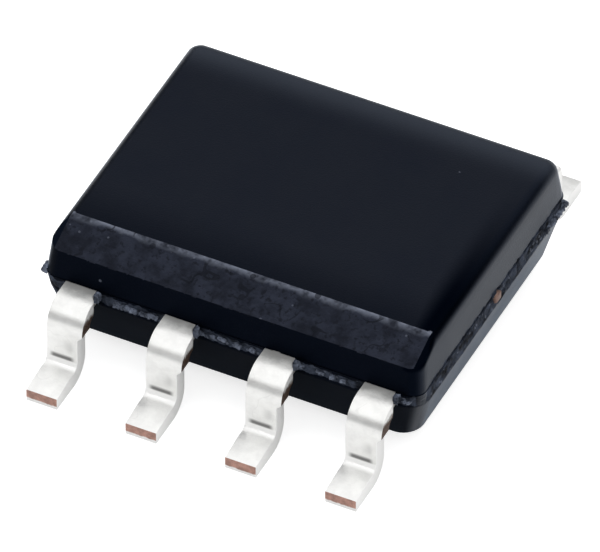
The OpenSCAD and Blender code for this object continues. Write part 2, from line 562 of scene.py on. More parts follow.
def start_group(name, inputs, outputs):
    """An empty node group that reads a place in millimetres, and its two ends."""
    tree = bpy.data.node_groups.new(name, "ShaderNodeTree")
    tree.interface.new_socket("Place", in_out="INPUT", socket_type="NodeSocketVector")
    for socket, default in inputs.items():
        made = tree.interface.new_socket(socket, in_out="INPUT", socket_type="NodeSocketFloat")
        made.default_value = default
    for socket in outputs:
        tree.interface.new_socket(socket, in_out="OUTPUT", socket_type="NodeSocketFloat")
    sheet = Sheet(tree)
    start = sheet.add("NodeGroupInput").outputs
    end = tree.nodes.new("NodeGroupOutput")
    end.location = (8 * COLUMN, 0)
    return sheet, start, end.inputs


def make_grain():
    """Fine grain over broad mottling."""
    sizes = {"Grain Size": 0.02, "Mottle Size": 0.3}
    sheet, start, end = start_group(GRAIN, sizes, ("Grain", "Mottle"))
    for size, output in zip(sizes, ("Grain", "Mottle")):
        cloud = sheet.add(
            "ShaderNodeTexNoise",
            {
                "Vector": start["Place"],
                "Scale": sheet.math("DIVIDE", 1.0, start[size]),
                "Detail": 3.0,
                "Roughness": 0.6,
            },
        )
        sheet.link(Value(sheet, cloud.outputs["Fac"]).ramp(0.3, 0.7), end[output])
    return sheet.tree


def make_specks():
    """Scattered specks: one in some of the cells of a pattern."""
    sizes = {"Spacing": 0.1, "Share": 0.1, "Size": 0.2}
    sheet, start, end = start_group(SPECKS, sizes, ("Mask",))
    scale = sheet.math("DIVIDE", 1.0, start["Spacing"])
    cells = sheet.add("ShaderNodeTexVoronoi", {"Vector": start["Place"], "Scale": scale})
    tone = sheet.add("ShaderNodeSeparateColor", {0: cells.outputs["Color"]})
    chosen = Value(sheet, tone.outputs[0]).under(start["Share"])
    near = Value(sheet, cells.outputs["Distance"]).under(start["Size"])
    sheet.link(chosen * near, end["Mask"])
    return sheet.tree


def make_scuffs():
    """Thin wandering lines, as hair scratches leave, with gaps in them."""
    sizes = {"Spacing": 0.6, "Width": 0.01}
    sheet, start, end = start_group(SCUFFS, sizes, ("Mask",))
    place = start["Place"]
    scale = sheet.math("DIVIDE", 1.0, start["Spacing"])
    lines, gaps = (
        sheet.add("ShaderNodeTexNoise", {"Vector": place, "Scale": each, "Detail": 1.0})
        for each in (scale, 2.3)
    )
    line = abs(Value(sheet, lines.outputs["Fac"]) - 0.5).under(start["Width"])
    kept = Value(sheet, gaps.outputs["Fac"]).ramp(0.52, 0.6)
    sheet.link(line * kept, end["Mask"])
    return sheet.tree


def shared(name):
    """A shared node group, made when it is first asked for."""
    makers = {GRAIN: make_grain, SPECKS: make_specks, SCUFFS: make_scuffs}
    return bpy.data.node_groups.get(name) or makers[name]()


def start_material(name, grain_size, mottle_size, **sockets):
    """A sheet for a new material, with its shader, the place in millimetres and grain."""
    made = bpy.data.materials.new(name)
    made.use_nodes = True
    sheet = Sheet(made.node_tree)
    sheet.material = made
    sheet.shader = sheet.tree.nodes["Principled BSDF"]
    sheet.shader.location = (SHADER_COLUMN * COLUMN, 0)
    sheet.output = sheet.tree.nodes["Material Output"]
    sheet.output.location = ((SHADER_COLUMN + 3) * COLUMN, 0)
    for key, value in sockets.items():
        sheet.shader.inputs[key.replace("_", " ")].default_value = value
    place = sheet.add("ShaderNodeTexCoord").outputs["Object"]
    sheet.where = sheet.add(
        "ShaderNodeVectorMath", {0: place, "Scale": 1 / MM}, operation="SCALE"
    ).outputs[0]
    sheet.grain, sheet.mottle = sheet.effect(
        GRAIN, grain_size=grain_size, mottle_size=mottle_size
    )
    return sheet


def undrafted(out, z, full, top_reach, low_reach, size):
    """How far out a place lies along an axis, as if the walls had no draft."""
    top_draft = (full - top_reach) / (BODY_HIGH.z - size.seam_top)
    low_draft = (full - low_reach) / (size.seam_low - BODY_LOW.z)
    above = (z - size.seam_top).most(0) * top_draft
    below = (size.seam_low - z).most(0) * low_draft
    return abs(out) + above + below


def painted_shade_and_ends(x, y, z, size):
    """How much painted shade dulls the compound at a place, and how far the place is round to an
    end, where painted sheen lies.
    """
    end_x, wall_y = BODY_HIGH.x, BODY_HIGH.y
    along = undrafted(x, z, end_x, size.top_half_length, size.low_half_length, size)
    across = undrafted(y, z, wall_y, size.top_half_width, size.low_half_width, size)
    end = along.ramp(end_x - 0.05, end_x + 0.005)
    wall = across.ramp(wall_y - 0.1, wall_y - 0.02)
    # Painted shade on the long walls.
    wall_shade = (1 - end) * wall * 0.78
    point, normal = bevel_plane(size)
    over_bevel = z * normal.z + y * normal.y - point.dot(normal)
    upper = over_bevel.most(z - BODY_HIGH.z).ramp(-0.1, -0.03)
    edge = size.top_half_length
    # Painted shade in a band along the top by the right end, strongest at the front, and along
    # the front of the top.
    end_band_shade = upper * x.ramp(edge - 0.42, edge - 0.14) * y.ramp(1.5, -1.0)
    front = upper * y.ramp(-0.7, -1.5) * 0.4
    return wall_shade.most(end_band_shade.most(front)), end


def compound_material(size):
    """Satin black moulding compound with fine grain and a few pale grains of filler."""
    sheet = start_material(
        "moulding_compound",
        0.022,
        0.9,
        IOR=1.5,
        Specular_IOR_Level=0.5,
        Specular_Tint=rgba(size.top_cast),
        Sheen_Weight=0.16,
        Sheen_Roughness=0.3,
        Sheen_Tint=(0.22, 0.5, 0.95, 1),
    )
    specks = sheet.effect(SPECKS, spacing=0.28, share=0.03, size=0.09)
    x, y, z = sheet.sides()
    painted_shade, end = painted_shade_and_ends(x, y, z, size)
    # Painted sheen, growing towards the back edge of the top.
    back = y.ramp(BODY_HIGH.y - 0.8, BODY_HIGH.y - 0.15)
    tone = sheet.mottled(size.compound, 0.85, 1.15)
    # Painted sheen: the ends take a lighter, bluer black.
    tone = sheet.mix(end, tone, size.end)
    tone = sheet.mix(back * back, tone, size.painted_sheen)
    # Painted shade: the compound takes the wall black and, as a near-black metal, reflects
    # almost nothing.
    tone = sheet.mix(painted_shade, tone, size.wall)
    tone = sheet.mix(specks * 0.25, tone, size.filler)
    sheet.feed(Metallic=painted_shade)
    gloss = sheet.mottle * 0.06 + 0.32 + painted_shade * 0.12
    return sheet.finish(tone, gloss, sheet.grain, 0.0006)


def bevel_material(size):
    """Rough grey face of the bevel, with a painted highlight along its upper edge."""
    sheet = start_material(
        "rubbed_bevel", 0.06, 0.22, Specular_Tint=(0.2, 0.2, 0.22, 1), Specular_IOR_Level=0.3
    )
    grain, mottle = sheet.grain, sheet.mottle
    specks = sheet.effect(SPECKS, spacing=0.07, share=0.035, size=0.22)
    scuffs = sheet.effect(SCUFFS, spacing=0.35, width=0.016)
    hollows = sheet.effect(SPECKS, spacing=0.21, share=0.22, size=0.2)
    edge_y = bevel_plane(size)[0].y
    # Painted highlight along the upper edge, in the pale filler colour.
    rim_highlight = sheet.sides()[Y] + mottle * -0.06 + 0.03
    rim_highlight = rim_highlight.ramp(edge_y - 0.076, edge_y - 0.006)
    tone = sheet.mottled(size.bevel, 0.62, 1.3)
    tone = sheet.mix(grain.ramp(0.0, 0.35), shade(size.bevel, 0.55), tone)
    tone = sheet.mix(rim_highlight * (mottle * 0.48 + 0.03), tone, size.filler)
    tone = sheet.mix(specks * 0.16, tone, size.filler)
    worn = scuffs.most(hollows)
    tone = sheet.mix(worn * 0.65, tone, shade(size.bevel, 0.35))
    return sheet.finish(tone, mottle * -0.15 + 0.85, grain - worn, 0.0045)


def broken_material(size):
    """Broken resin: dull, uneven and full of pale filler."""
    sheet = start_material(
        "broken_resin", 0.035, 0.17, Specular_Tint=(0.15, 0.15, 0.16, 1), Specular_IOR_Level=0.3
    )
    specks = sheet.effect(SPECKS, spacing=0.05, share=0.14, size=0.36)
    tone = sheet.mottled(size.broken, 0.2, 2.3)
    tone = sheet.mix(specks * 0.3, tone, size.filler)
    return sheet.finish(tone, sheet.grain * -0.15 + 0.92, sheet.grain, 0.008)


def flash_material(size):
    """Thin resin flash, paler than the body where it has torn."""
    sheet = start_material(
        "torn_flash", 0.03, 0.1, Specular_Tint=(0.3, 0.3, 0.33, 1), Specular_IOR_Level=0.3
    )
    tone = sheet.mix(sheet.mottle, size.broken, size.torn)
    return sheet.finish(tone, sheet.grain * -0.2 + 0.7, sheet.grain, 0.006)


def painted_lead_shading(x, y, z, size):
    """Painted shade on the leads, a darker patch on each upright, a painted highlight in each
    heel, and painted light on the upper heel bend and the sides of the leads.
    """
    # Heights of the painted shade below the shoulder and of the darker patch on the upright.
    shoulder_shade_z, dark_patch_z = 0.858, 0.49
    pitch = lead_pitch()
    across = x.wrap(pitch, 0.0) - pitch / 2
    inside = abs(across).ramp(0.175, 0.1)
    outside = abs(y).ramp(size.upright - 0.06, size.upright - 0.02)
    heel, foot = size.thickness + size.bend_radius, size.thickness
    # Painted shade: a dark line across each heel bend, and a dark band across the bend below the
    # shoulder.
    line = z.stripe(heel, 0.014, 0.066) * inside * outside * 0.97
    shoulder_shade = z.stripe(shoulder_shade_z, 0.012, 0.06) * 0.3
    # A darker patch on the right half of the upright.
    dark_patch = z.stripe(dark_patch_z, 0.02, 0.13) * across.ramp(-0.02, 0.12) * inside * 0.22
    # Painted highlight low in each heel bend, and painted light on the rest of that bend.
    bend = z.ramp(heel - 0.005, heel - 0.03) * z.ramp(foot - 0.002, foot + 0.012)
    bend = bend * outside
    painted_glare = bend * z.ramp(heel - 0.06, heel - 0.075)
    # Painted light on the sides of the upright and the foot.
    edge, stub = size.foot_width / 2, size.stub_low
    side = abs(across).ramp(edge - 0.01, edge - 0.002) * z.ramp(stub - 0.03, stub - 0.07)
    return line.most(shoulder_shade).most(dark_patch), painted_glare, side.most(bend - painted_glare)


def tin_material(size):
    """Matte tin plate: fine crystals and rub marks, painted shade on the necks by the wall, and
    the painted shade and light of the bends.
    """
    sheet = start_material("matte_tin", 0.018, 0.16)
    scuffs = sheet.effect(SCUFFS, spacing=0.3, width=0.01)
    x, y, z = sheet.sides()
    marks, painted_glare, pale = painted_lead_shading(x, y, z, size)
    wall = BODY_HIGH.y
    # Painted shade on each neck, close to the wall of the body.
    painted_neck_shade = abs(y) + (sheet.mottle * 0.05 - 0.025)
    painted_neck_shade = painted_neck_shade.ramp(wall + 0.2, wall + 0.04) * 0.5
    tone = sheet.mottled(size.tin, 0.95, 1.05)
    # Rub marks and painted shade darken the tin.
    dark = (scuffs * 0.07).most(marks).most(painted_neck_shade)
    tone = sheet.mix(dark, tone, shade(size.tin, 0.2))
    # Painted highlights in the heels and painted light on the lead sides take the pale tin
    # colour, the highlight with more metal, the rest with less.
    tone = sheet.mix(painted_glare.most(pale), tone, size.rubbed)
    sheet.feed(Metallic=painted_glare * 0.4 + 0.5 - pale * 0.42)
    return sheet.finish(tone, sheet.mottle * 0.1 + 0.31, sheet.grain, 0.0012)


def sheared_material(size):
    """Copper of the cut ends, with tin dragged over the lower part of the tips."""
    sheet = start_material("sheared_copper", 0.02, 0.09, Metallic=0.45)
    z, mottle, top = sheet.sides()[Z], sheet.mottle, size.sheared_top
    bare = (z + (mottle * -0.012 + 0.006)).ramp(0.035, 0.055)
    tinned = (z + mottle * 0.04).ramp(top - 0.03, top + 0.05)
    tone = sheet.mottled(size.copper, 0.75, 1.25)
    tone = sheet.mix(bare, size.rubbed, tone)
    tone = sheet.mix(z.ramp(0.4, 0.5), tone, size.tarnish)
    tone = sheet.mix(tinned, tone, size.tin)
    return sheet.finish(tone, sheet.grain * 0.15 + 0.4, sheet.grain, 0.004)


def plain_metal(name, tone, metallic, gloss, grain_size):
    """A metal or paste of one colour with grain and mottling."""
    sheet = start_material(name, grain_size, grain_size * 8, Metallic=metallic)
    tone = sheet.mottled(tone, 0.8, 1.15)
    return sheet.finish(tone, sheet.grain * 0.15 + gloss, sheet.grain, 0.001)


def silicon_material(size):
    """Polished silicon with the faint rectangles of a circuit."""
    sheet = start_material("silicon", 0.01, 0.2, Metallic=0.6)
    blocks = sheet.add(
        "ShaderNodeTexBrick",
        {
            "Vector": sheet.where,
            "Color1": rgba(shade(size.silicon, 0.7)),
            "Color2": rgba(shade(size.silicon, 1.6)),
            "Mortar": rgba(shade(size.silicon, 2.2)),
            "Scale": 6.0,
            "Mortar Size": 0.008,
        },
    ).outputs
    return sheet.finish(blocks["Color"], sheet.mottle * 0.08 + 0.12, blocks["Fac"], 0.0008)


# The moulded body ------------------------------------------

# How far the close mesh and the roughness reach past the seam and the bevel.
SEAM_MARGIN = 0.06
BEVEL_MARGIN = 0.05
# Distance between the cuts of the close mesh, before it is divided again.
FINE_STEP = 0.064
# Width of the narrow row inside the rounded edges of the top and the underside.
RIM_INSET = 0.012
# How far below the top, and how far in front of the bevel's edge, its face may lie.
BEVEL_FALL = 0.23
BEVEL_REACH = 0.47
# Places of the materials on the body.
COMPOUND_SLOT, BEVEL_SLOT, BROKEN_SLOT = range(3)


def in_seam(z, size):
    """Whether a height lies in the dense stretch round the seam."""
    return size.seam_low - SEAM_MARGIN < z < size.seam_top + SEAM_MARGIN


def bevel_plane(size):
    """A point on the upper edge of the bevel, and its outward normal."""
    top_y = size.bevel_run - size.top_half_width
    draft = BODY_HIGH.y - size.rim_step - size.top_half_width
    slope = draft / (BODY_HIGH.z - size.seam_top)
    low_y = -(size.top_half_width + size.bevel_drop * slope)
    along = Vector((0, low_y - top_y, -size.bevel_drop))
    normal = Vector((0, along.z, -along.y)).normalized()
    return Vector((0, top_y, BODY_HIGH.z)), normal


def draw_body(size):
    """Blocks out the two drafted halves, rounds them and cuts the bevel."""
    body = start_block(
        "moulded_body",
        (BODY_LOW.x, BODY_LOW.y, size.seam_low),
        (BODY_HIGH.x, BODY_HIGH.y, size.seam_top),
    )
    up = Vector((0, 0, 1))
    pick(body, "FACE", facing(up))
    bpy.ops.mesh.inset(thickness=size.rim_step)
    push(z=BODY_HIGH.z - size.seam_top)
    widen(
        size.top_half_length / (BODY_HIGH.x - size.rim_step),
        size.top_half_width / (BODY_HIGH.y - size.rim_step),
    )
    pick(body, "FACE", facing(-up))
    push(z=BODY_LOW.z - size.seam_low)
    widen(size.low_half_length / BODY_HIGH.x, size.low_half_width / BODY_HIGH.y)
    pick(body, "EDGE", is_upright)
    bpy.ops.mesh.bevel(offset=size.lower_corner, segments=10, clamp_overlap=False)
    tighten_corners(body, BODY_HIGH.x, BODY_HIGH.y, size.seam_top, size)
    top = size.top_half_length, size.top_half_width, BODY_HIGH.z
    tighten_corners(body, *top, size)
    for height, radius, segments in (
        (BODY_HIGH.z, size.top_radius, 7),
        (BODY_LOW.z, size.low_radius, 4),
    ):
        pick(body, "EDGE", at_height(height))
        bpy.ops.mesh.bevel(offset=radius, segments=segments, clamp_overlap=False)
        pick(body, "FACE", at_height(height))
        bpy.ops.mesh.inset(thickness=RIM_INSET)
    take_all()
    cut(*bevel_plane(size), fill=True, clear=True)
    return body


def is_upright(edge):
    """Whether both ends of an edge stand at the same corner of the body."""
    first, last = (vertex.co for vertex in edge.verts)
    return first.x * last.x > 0 and first.y * last.y > 0


def tighten_corners(body, reach_x, reach_y, height, size):
    """Draws the corners at a height in from the lower radius to the upper one."""
    ratio = size.upper_corner / size.lower_corner
    margin = size.lower_corner + size.rim_step + 1e-3
    for side_x in (-1, 1):
        for side_y in (-1, 1):
            pick(
                body,
                "VERT",
                lambda vertex: abs(vertex.co.z - height) < CLOSE
                and vertex.co.x * side_x > reach_x - margin
                and vertex.co.y * side_y > reach_y - margin,
            )
            widen(ratio, ratio, about=(side_x * reach_x, side_y * reach_y, height))


def refine_body(body, size):
    """Adds guard rows, and a close mesh where the resin is broken or rubbed."""
    point, normal = bevel_plane(size)
    seam_low, seam_top = size.seam_low, size.seam_top
    foot = BODY_HIGH.z - size.bevel_drop
    corner_x, corner_y = BODY_HIGH.x - size.lower_corner, BODY_HIGH.y - size.lower_corner
    guards = [(Z, z) for z in (seam_low - SEAM_MARGIN, seam_top + SEAM_MARGIN)]
    guards += [(Z, foot - BEVEL_MARGIN), (Y, point.y + BEVEL_MARGIN)]
    for sign in (-1, 1):
        guards += [(X, sign * (corner_x - 0.03)), (Y, sign * (corner_y - 0.03))]
    for axis, place in guards:
        take_all()
        cut_across(axis, place)

    def by_seam(face):
        return in_seam(middle(face).z, size)

    def by_bevel(face):
        place = middle(face)
        if abs((place - point).dot(normal)) < 1e-3:
            return True
        above = face.normal.z > 0.9 and place.y < point.y + BEVEL_MARGIN
        below = place.y < -1.7 and place.z < foot
        return place.z > foot - BEVEL_MARGIN and (above or below)

    along = steps_between(-corner_x, corner_x, FINE_STEP)
    slice_faces(body, by_seam, X, along)
    slice_faces(body, by_seam, Y, steps_between(-corner_y, corner_y, FINE_STEP))
    for low, high, step in (
        (seam_low - SEAM_MARGIN, seam_low, 0.03),
        (seam_low, seam_top, 0.04),
        (seam_top, seam_top + SEAM_MARGIN, 0.03),
    ):
        slice_faces(body, by_seam, Z, steps_between(low, high, step))
    slice_faces(body, by_bevel, X, along)
    slice_faces(body, by_bevel, X, (-size.bevel_end, size.bevel_end))
    across = steps_between(point.y - BEVEL_REACH, point.y + BEVEL_MARGIN, FINE_STEP)
    slice_faces(body, by_bevel, Y, across)
    pick(body, "FACE", lambda face: by_seam(face) or by_bevel(face))
    bpy.ops.mesh.subdivide(number_cuts=3)


def fade(value, low, high):
    """Runs from nothing at low to one at high."""
    return max(0.0, min(1.0, (value - low) / (high - low)))


def seam_weight(place, size):
    """How broken the resin is at a place: most in the seam, with a ragged outline."""
    low, top = size.seam_low, size.seam_top
    wander = 0.025 * noise.noise(place * 9) + 0.015 * noise.noise(place * 31)
    height = place.z + wander
    guard = fade(place.z, low - 0.055, low - 0.03) * fade(place.z, top + 0.055, top + 0.03)
    side = fade(abs(place.x), BODY_HIGH.x - 0.16, BODY_HIGH.x - 0.06)
    foot = low + 0.05 * (1 - side)
    head = top - 0.06 * (1 - side)
    ragged = fade(height, foot - 0.02, foot + 0.02) * fade(height, head + 0.04, head)
    corner = 1 - 0.8 * fade(abs(place.y), BODY_HIGH.y - 0.5, BODY_HIGH.y - 0.1) * side
    return guard * ragged * corner


def near_bevel(place, point, margin):
    """Whether a place is high and far enough forward to lie on the bevel."""
    return place.z >= point.z - BEVEL_FALL and place.y <= point.y + margin


def bevel_weight(place, point, normal, size):
    """How rubbed the surface is at a place near the bevel."""
    if not near_bevel(place, point, BEVEL_MARGIN):
        return 0
    off = abs((place - point).dot(normal))
    end = size.bevel_end
    return fade(off, 0.012, 0.0) * fade(abs(place.x), end, end - 0.03)


def break_surface(body, size):
    """Breaks up the resin along the seam and rubs the bevel."""
    point, normal = bevel_plane(size)
    weigh(body, "seam", lambda place: seam_weight(place, size))
    weigh(body, "bevel", lambda place: bevel_weight(place, point, normal, size))
    chip, rub = size.chip_depth, size.rub_depth
    roughen(body, "chips", "VORONOI", 0.07, chip, "seam", 0.9, distance_metric="DISTANCE")
    roughen(body, "lumps", "CLOUDS", 0.05, chip * 1.4, "seam", 0.55, noise_depth=3)
    roughen(body, "ridges", "CLOUDS", 0.11, rub * 1.5, "bevel", 0.5, noise_depth=4)
    roughen(body, "crumbs", "CLOUDS", 0.035, rub, "bevel", 0.55, noise_depth=2)


def material_of(face, size):
    """Place of the material that a face of the body takes."""
    point, normal = bevel_plane(size)
    place = face.center
    if near_bevel(place, point, 0.03) and face.normal.dot(normal) > 0.7:
        if abs((place - point).dot(normal)) < 0.03 and abs(place.x) < size.bevel_end:
            return BEVEL_SLOT
    if in_seam(place.z, size) and seam_weight(place, size) > 0.35:
        return BROKEN_SLOT
    return COMPOUND_SLOT


class CHIP_OT_moulding(bpy.types.Operator):
    """Moulds the black body: drafted halves, rough bevel and broken seam"""

    bl_idname = "chip.moulding"
    bl_label = "Moulded body"
    bl_options = {"REGISTER", "UNDO"}

    def execute(self, context):
        size = sizes_in_mm(context.scene.chip_moulding)
        body = draw_body(size)
        refine_body(body, size)
        bpy.ops.object.mode_set(mode="OBJECT")
        break_surface(body, size)
        dress(body, compound_material(size), bevel_material(size), broken_material(size))
        for face in body.data.polygons:
            face.material_index = material_of(face, size)
        smooth_by_angle(body, 38)
        finish_piece(body, "mould_compound", "package_body")
        return {"FINISHED"}


# Resin flash -----------------------------------------------

# Where flecks of flash stand along each gap of a row: start and end as shares of the
# gap, and how far they stand out, in millimetres.
FLECKS = (
    ((0.26, 0.6, 0.05), (0.64, 0.9, 0.045)),
    ((0.04, 0.28, 0.03), (0.33, 0.46, 0.015), (0.56, 0.66, 0.045), (0.76, 0.86, 0.03)),
    ((0.05, 0.12, 0.03), (0.3, 0.42, 0.015), (0.5, 0.58, 0.03), (0.66, 0.74, 0.03)),
    ((0.45, 0.85, 0.03),),
)
# How far the flash is rooted in the wall, and how far a chunk beside a lead stands out.
ROOTED = 0.05
CHUNK_OUT = 0.075
# Distance between the cuts of a strip, and how far its points are then pushed about.
TEAR_STEP = 0.035
TEAR = 0.012


def flash_strip(name, low, high, seed):
    """One ragged strip of resin along a wall, thin and torn at its outer edge."""
    strip = start_block(name, low, high)
    size = Vector(high) - Vector(low)
    axis = X if size.x > size.y else Y
    count = max(3, round(size[axis] / TEAR_STEP))
    for place in steps_between(low[axis], high[axis], size[axis] / count):
        take_all()
        cut_across(axis, place)
    take_all()
    bpy.ops.mesh.subdivide(number_cuts=1)
    bpy.ops.transform.vertex_random(offset=TEAR, uniform=1.0, seed=seed)
    bpy.ops.object.mode_set(mode="OBJECT")
    return strip


def wall_strip(name, sign, start, end, out, low, top, seed):
    """A strip along the wall of one row, from start to end along the row."""
    near, far = sign * (BODY_HIGH.y - ROOTED), sign * (BODY_HIGH.y + out)
    low_corner = (start, min(near, far), low)
    return flash_strip(name, low_corner, (end, max(near, far), top), seed)


class CHIP_OT_flash(bpy.types.Operator):
    """Adds the slivers of resin left between the leads and at two corners"""

    bl_idname = "chip.flash"
    bl_label = "Resin flash"
    bl_options = {"REGISTER", "UNDO"}

    def execute(self, context):
        size = sizes_in_mm(context.scene.chip_moulding)
        half = sizes_in_mm(context.scene.chip_leads).neck_width / 2
        low, top = size.seam_low, size.seam_top
        places = lead_places()
        gaps = [(left + half, right - half) for left, right in zip(places, places[1:])]
        gaps.append((places[-1] + half, places[-1] + half + 0.22))
        strips = []
        for row, sign in enumerate((-1, 1)):
            for number, (start, end) in enumerate(gaps):
                seed = row * 10 + number + 1
                for part, (first, last, out) in enumerate(FLECKS[number]):
                    ends = [start + share * (end - start) for share in (first, last)]
                    heights = low + 0.092, top - 0.078
                    name = f"flash_{seed}_{part}"
                    strips.append(wall_strip(name, sign, *ends, out, *heights, seed + part * 20))
                ends = start - 0.01, start + 0.06
                heights = low + 0.08, top - 0.01
                strips.append(
                    wall_strip(f"chunk_{seed}", sign, *ends, CHUNK_OUT, *heights, seed + 40)
                )
        x, y = BODY_HIGH.x, BODY_HIGH.y
        bump = (-x - 0.03, 0.06 - y, top - 0.06), (0.04 - x, 0.2 - y, top + 0.02)
        fin = (x - 0.04, y - 0.62, low + 0.05), (x + 0.035, y - 0.06, low + 0.1)
        strips.append(flash_strip("corner_bump", *bump, 61))
        strips.append(flash_strip("end_fin", *fin, 62))
        flash = self.join(strips)
        dress(flash, flash_material(size))
        smooth_by_angle(flash, 30)
        finish_piece(flash, "mould_compound")
        return {"FINISHED"}

    def join(self, strips):
        """Joins the strips into one piece."""
        activate(strips[0])
        for strip in strips:
            strip.select_set(True)
        bpy.ops.object.join()
        rename(strips[0], "resin_flash")
        return strips[0]


# Leads -----------------------------------------------------

# Steps of a bend, and the lengths over which a lead's shape changes, in millimetres.
BEND_STEPS = 12
FINGER_STEP = 0.002
STUB_TAPER = 0.06
FOOT_STEPS = (0.1, 0.02)


def lead_places():
    """X of the leads of a row, in millimetres, from left to right."""
    found = []
    for number in range(1, LEADS_PER_ROW + 1):
        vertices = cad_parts[f"lead_{number}"].data.vertices
        foot = [vertex.co.x / MM for vertex in vertices if vertex.co.z / MM < 0.1]
        found.append((min(foot) + max(foot)) / 2)
    return found


def lead_pitch():
    """Distance between neighbouring leads of a row, in millimetres."""
    places = lead_places()
    return (places[-1] - places[0]) / (len(places) - 1)


def end_face(piece, direction):
    """Selects the face that lies furthest in a direction."""
    looks = facing(direction)
    faces = [face for face in bmesh.from_edit_mesh(piece.data).faces if looks(face)]
    reach = max(middle(face).dot(direction) for face in faces) - CLOSE
    pick(piece, "FACE", lambda face: looks(face) and middle(face).dot(direction) > reach)


def spin(degrees, y, z):
    """Turns the selected face about an axis along the row."""
    bpy.ops.mesh.spin(
        steps=BEND_STEPS, angle=math.radians(degrees), center=(0, y, z), axis=(1, 0, 0)
    )


def draw_lead(size, lean):
    """Draws one lead of the front row at x = 0, its inner end leaning by lean."""
    out, down = Vector((0, -1, 0)), Vector((0, 0, -1))
    top, tip = LEAD_HIGH.z, -LEAD_LOW.y
    half_finger, neck, half_foot = size.finger_width / 2, size.neck_width, size.foot_width / 2
    stub, stub_low, upright = size.stub_reach, size.stub_low, size.upright
    inner, outer = size.bend_radius, size.bend_radius + size.thickness
    shoulder = upright - outer
    ramp = shoulder - size.neck_end
    # The left side runs straight down from the neck, so each width grows to the right.
    flat = (-neck / 2, 0, 0)
    swell = (neck / 2 + stub * 3) / 4
    widths = [neck / 2, swell, stub, half_foot]
    grow_first, grow_last, shrink = (
        (after + neck / 2) / (before + neck / 2) for before, after in zip(widths, widths[1:])
    )
    lead = start_block(
        "lead",
        (-half_finger, -size.finger_end, top - size.thickness),
        (half_finger, -size.finger_start, top),
    )
    pick(lead, "FACE", facing(-out))
    bpy.ops.transform.translate(value=(lean, 0, 0))
    end_face(lead, out)
    push(y=-FINGER_STEP)
    widen(x=neck / size.finger_width)
    push(y=-(size.neck_end - size.finger_end - FINGER_STEP))
    push(y=-ramp * 0.6)
    widen(x=grow_first, about=flat)
    push(y=-ramp * 0.4)
    widen(x=grow_last, about=flat)
    spin(-90, -shoulder, top - outer)
    end_face(lead, down)
    push(z=-(top - outer - stub_low))
    push(z=-STUB_TAPER)
    widen(x=shrink, about=flat)
    push(z=-(stub_low - STUB_TAPER - outer))
    spin(90, -upright - inner, outer)
    end_face(lead, out)
    for step in FOOT_STEPS:
        push(y=-step)
    push(y=-(tip - upright - inner - sum(FOOT_STEPS)))
    widen(z=size.tip_thin)
    take_all()
    bpy.ops.mesh.remove_doubles(threshold=0.0005)
    pick(lead, "FACE", is_inside)
    bpy.ops.mesh.delete(type="FACE")
    take_all()
    bpy.ops.mesh.normals_make_consistent(inside=False)
    bpy.ops.object.mode_set(mode="OBJECT")
    return lead


def is_inside(face):
    """Whether a spin left a face inside: each of its edges then has other faces."""
    return all(len(edge.link_faces) > 2 for edge in face.edges)


def is_sheared(face, size):
    """Whether a face of the lead at x = 0 was cut through the strip."""
    on_stub = face.normal.x > 0.9 and face.center.x > size.stub_reach - 0.01
    on_tip = face.normal.y < -0.9 and face.center.y < LEAD_LOW.y + 0.01
    return on_stub or on_tip


class CHIP_OT_leads(bpy.types.Operator):
    """Forms the eight gull-wing leads"""

    bl_idname = "chip.leads"
    bl_label = "Gull-wing leads"
    bl_options = {"REGISTER", "UNDO"}

    def execute(self, context):
        size = sizes_in_mm(context.scene.chip_leads)
        materials = tin_material(size), sheared_material(size)
        places = lead_places()
        for number, x in enumerate(places, 1):
            corner = number in (1, len(places))
            lean = -math.copysign(size.finger_lean, x) if corner else 0
            front = draw_lead(size, lean)
            round_edges(front, size.edge_radius)
            dress(front, *materials)
            for face in front.data.polygons:
                face.material_index = int(is_sheared(face, size))
            smooth_by_angle(front, 40)
            behind = front.copy()
            behind.data = front.data.copy()
            context.collection.objects.link(behind)
            self.set_down(front, f"lead_{number}", x, 0)
            self.set_down(behind, f"lead_{number + len(places)}", -x, math.pi)
        return {"FINISHED"}

    def set_down(self, piece, node, x, turn):
        """Puts a lead in its row, turned to the row behind where asked."""
        rename(piece, f"gull_wing_{node}")
        piece.rotation_euler = (0, 0, turn)
        piece.location = (x * MM, 0, 0)
        finish_piece(piece, "tinned_lead", node)


# The sealed core -------------------------------------------

# Shrink of the two last stretches of a tie bar, towards a point in its cut end.
TIE_TAPERS = ((0.56, 0.6), (0.75, 0.8))
TIE_TIP = 0.012


def draw_pad(size):
    """Draws the die pad with its two tie bars as one strip."""
    half, tie, slope = size.pad_half_length, size.tie_width / 2, size.slope_end
    level = PAD_LOW.z + size.thickness
    pad = start_block("die_pad_strip", (-half, PAD_LOW.y, PAD_LOW.z), (half, PAD_HIGH.y, level))
    aim = (0, 0.12, PAD_HIGH.z - 0.02)
    for sign in (-1, 1):
        looks = facing(Vector((sign, 0, 0)))
        for side in (-tie, tie):
            pick(pad, "FACE", looks)
            cut_across(Y, side)
        pick(pad, "FACE", lambda face: looks(face) and abs(middle(face).y) < tie)
        push(x=sign * (slope - half), z=PAD_HIGH.z - level)
        for reach, (wide, tall) in zip((PAD_HIGH.x - slope - TIE_TIP, TIE_TIP), TIE_TAPERS):
            push(x=sign * reach)
            widen(y=wide, z=tall, about=aim)
    bpy.ops.object.mode_set(mode="OBJECT")
    return pad


